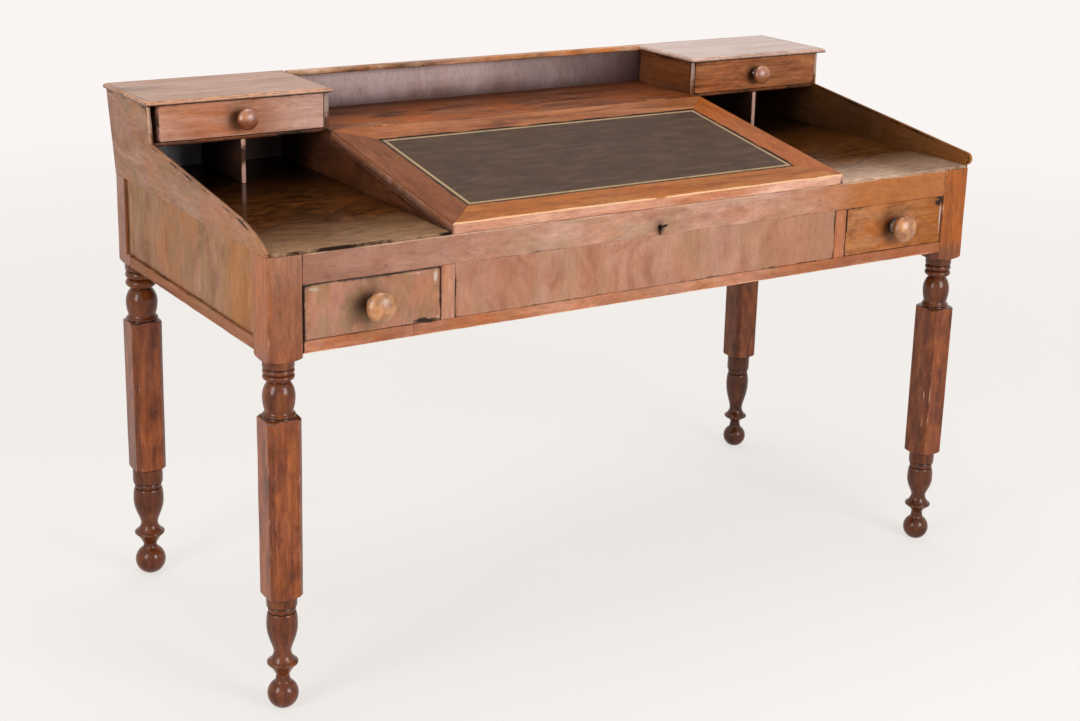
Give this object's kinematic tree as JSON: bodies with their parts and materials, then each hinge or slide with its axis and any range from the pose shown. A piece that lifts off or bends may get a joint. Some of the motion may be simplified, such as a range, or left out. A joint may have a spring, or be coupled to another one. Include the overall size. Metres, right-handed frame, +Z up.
{
  "type": "plantation desk",
  "caption": "Mahogany writing desk on turned legs: a hinged leather slope over a well, between drawer boxes with pigeonholes, above a case with drawers and wooden knobs.",
  "frame": {"origin": "on the floor under the middle of the desk's bounding box", "axes": "+X to the sitter's right along the width, +Y from the sitter to the back, +Z up"},
  "size_m": [1.48, 0.699, 0.9282],
  "materials": {
    "mahogany": "polished, worn",
    "secondary_wood": "bare, aged",
    "knob_wood": "polished",
    "leather": "worn, gold-tooled line",
    "brass": "tarnished"
  },
  "bodies": {
    "carcass": {"back_panel": "secondary_wood", "bottom_rail": "mahogany", "box_top_left": "mahogany", "box_top_right": "mahogany", "case_bottom": "secondary_wood", "centre_panel": "mahogany", "deck_left": "mahogany", "deck_right": "mahogany", "divider_left": "mahogany", "divider_right": "mahogany", "end_board_left": "mahogany", "end_board_right": "mahogany", "floor_left": "mahogany", "floor_right": "mahogany", "gallery_back": "mahogany", "gallery_cap": "mahogany", "hinge_fixed_left": "brass", "hinge_fixed_right": "brass", "inner_board_left": "mahogany", "inner_board_right": "mahogany", "leg_front_left": "mahogany", "leg_front_right": "mahogany", "leg_rear_left": "mahogany", "leg_rear_right": "mahogany", "lock_case": "brass", "muntin_left": "mahogany", "muntin_right": "mahogany", "partition_left": "secondary_wood", "partition_right": "secondary_wood", "shelf": "mahogany", "side_panel_left": "mahogany", "side_panel_right": "mahogany", "side_rail_left": "mahogany", "side_rail_right": "mahogany", "top_rail": "mahogany"},
    "lid": {"hinge_moving_left": "brass", "hinge_moving_right": "brass", "lid_border_back": "mahogany", "lid_border_front": "mahogany", "lid_border_left": "mahogany", "lid_border_right": "mahogany", "lid_core": "mahogany", "lid_leather": "leather", "link_plate": "brass"},
    "lower_left_drawer": {"lower_left_bottom": "secondary_wood", "lower_left_frame": "secondary_wood", "lower_left_front": "mahogany", "lower_left_knob": "knob_wood"},
    "lower_right_drawer": {"lower_right_bottom": "secondary_wood", "lower_right_frame": "secondary_wood", "lower_right_front": "mahogany", "lower_right_knob": "knob_wood"},
    "upper_left_drawer": {"upper_left_bottom": "secondary_wood", "upper_left_frame": "secondary_wood", "upper_left_front": "mahogany", "upper_left_knob": "knob_wood"},
    "upper_right_drawer": {"upper_right_bottom": "secondary_wood", "upper_right_frame": "secondary_wood", "upper_right_front": "mahogany", "upper_right_knob": "knob_wood"}
  },
  "joints": [
    {"name": "lid_hinge", "type": "hinge", "parent": "carcass", "child": "lid", "pos_m": [0, 0.1259, 0.8557], "axis": [-1, 0, 0], "range_deg": [0, 110]},
    {"name": "lower_left_slide", "type": "slide", "parent": "carcass", "child": "lower_left_drawer", "axis": [0, -1, 0], "range_m": [0, 0.36]},
    {"name": "lower_right_slide", "type": "slide", "parent": "carcass", "child": "lower_right_drawer", "axis": [0, -1, 0], "range_m": [0, 0.36]},
    {"name": "upper_left_slide", "type": "slide", "parent": "carcass", "child": "upper_left_drawer", "axis": [0, -1, 0], "range_m": [0, 0.12]},
    {"name": "upper_right_slide", "type": "slide", "parent": "carcass", "child": "upper_right_drawer", "axis": [0, -1, 0], "range_m": [0, 0.12]}
  ]
}
